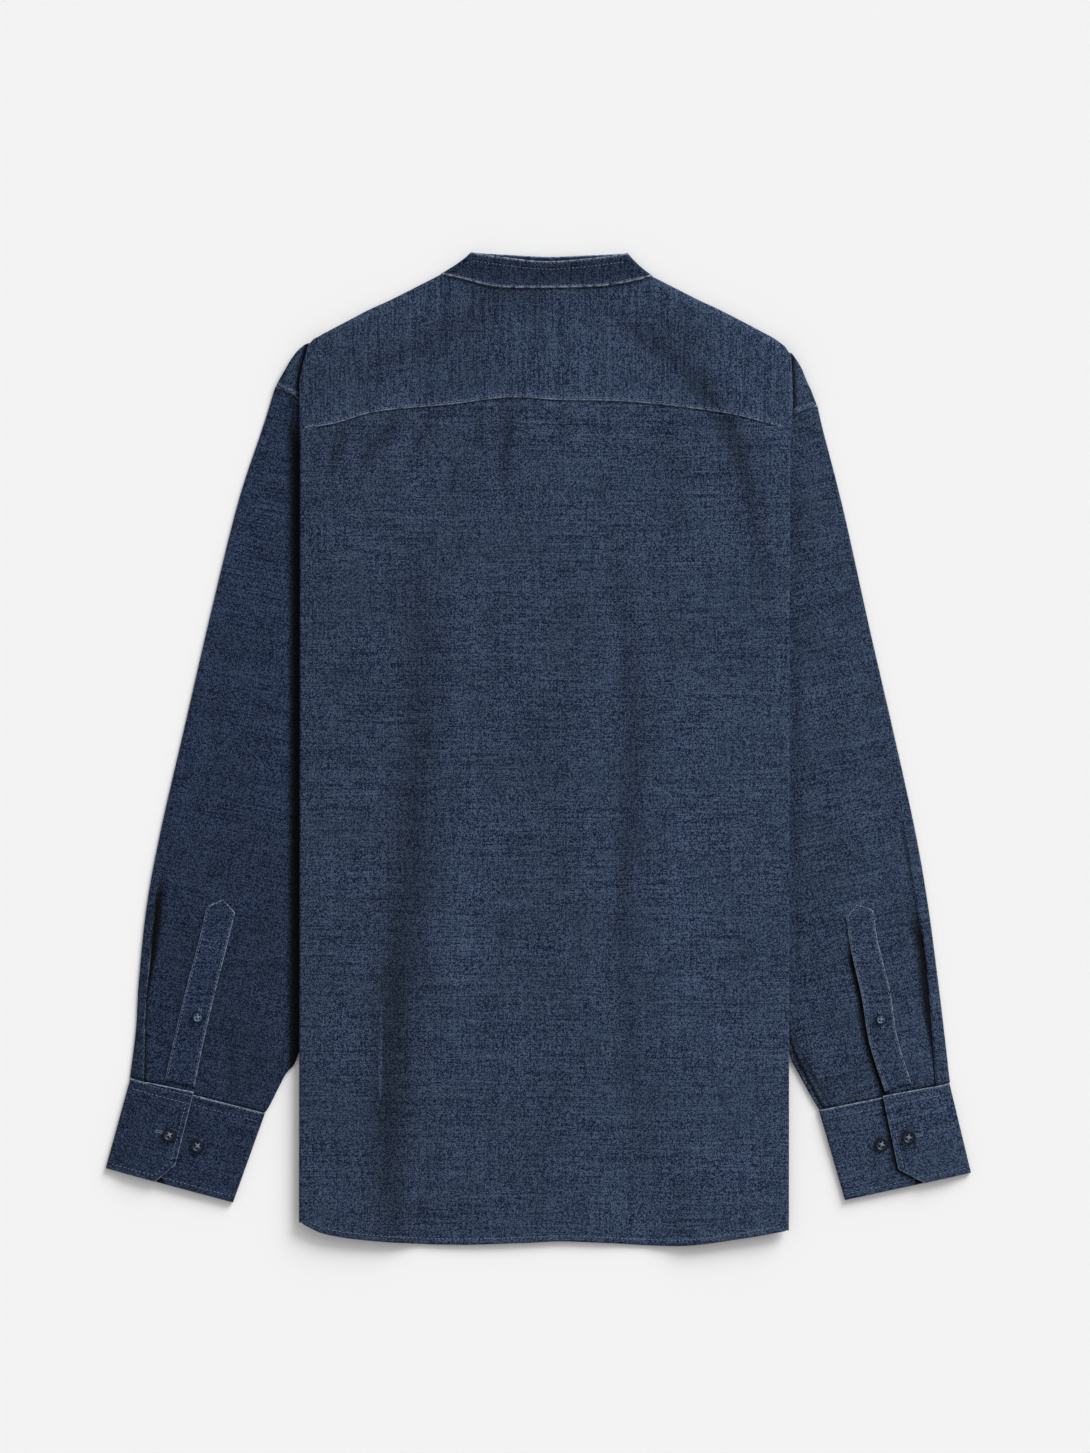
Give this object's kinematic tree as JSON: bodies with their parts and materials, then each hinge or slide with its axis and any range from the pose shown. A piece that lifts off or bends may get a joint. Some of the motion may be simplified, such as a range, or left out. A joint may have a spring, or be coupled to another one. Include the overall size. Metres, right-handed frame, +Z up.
{
  "type": "band collar shirt",
  "caption": "Long-sleeved band collar shirt in indigo chambray, laid face down with its sides turned under and its sleeves drawn down beside the body.",
  "frame": {"origin": "middle of the whole laid-out outline, on the surface the shirt lies on", "axes": "+Z up from the surface, towards the back of the shirt; +Y towards the collar; +X towards the right-hand sleeve as seen from the back"},
  "size_m": [0.6928, 0.7958, 0.0093],
  "materials": {
    "shirting": "plain-woven indigo cotton with a slubby, slightly washed surface and pale worn seam edges",
    "buttons": "dark blue four-hole shirt buttons with a soft gloss",
    "thread": "pale blue sewing thread, matt"
  },
  "bodies": {
    "root": {"yoke": "shirting", "back_panel": "shirting", "front_left": "shirting", "front_right": "shirting", "collar_band": "shirting", "sleeve_left": "shirting", "sleeve_right": "shirting", "placket_left": "shirting", "placket_right": "shirting", "cuff_left": "shirting", "cuff_right": "shirting", "cuff_button_left_1": "buttons", "cuff_button_left_2": "buttons", "cuff_button_right_1": "buttons", "cuff_button_right_2": "buttons", "placket_button_left": "buttons", "placket_button_right": "buttons", "front_button_1": "buttons", "front_button_2": "buttons", "front_button_3": "buttons", "front_button_4": "buttons", "front_button_5": "buttons", "front_button_6": "buttons", "front_button_7": "buttons", "neck_button": "buttons"}
  },
  "joints": []
}
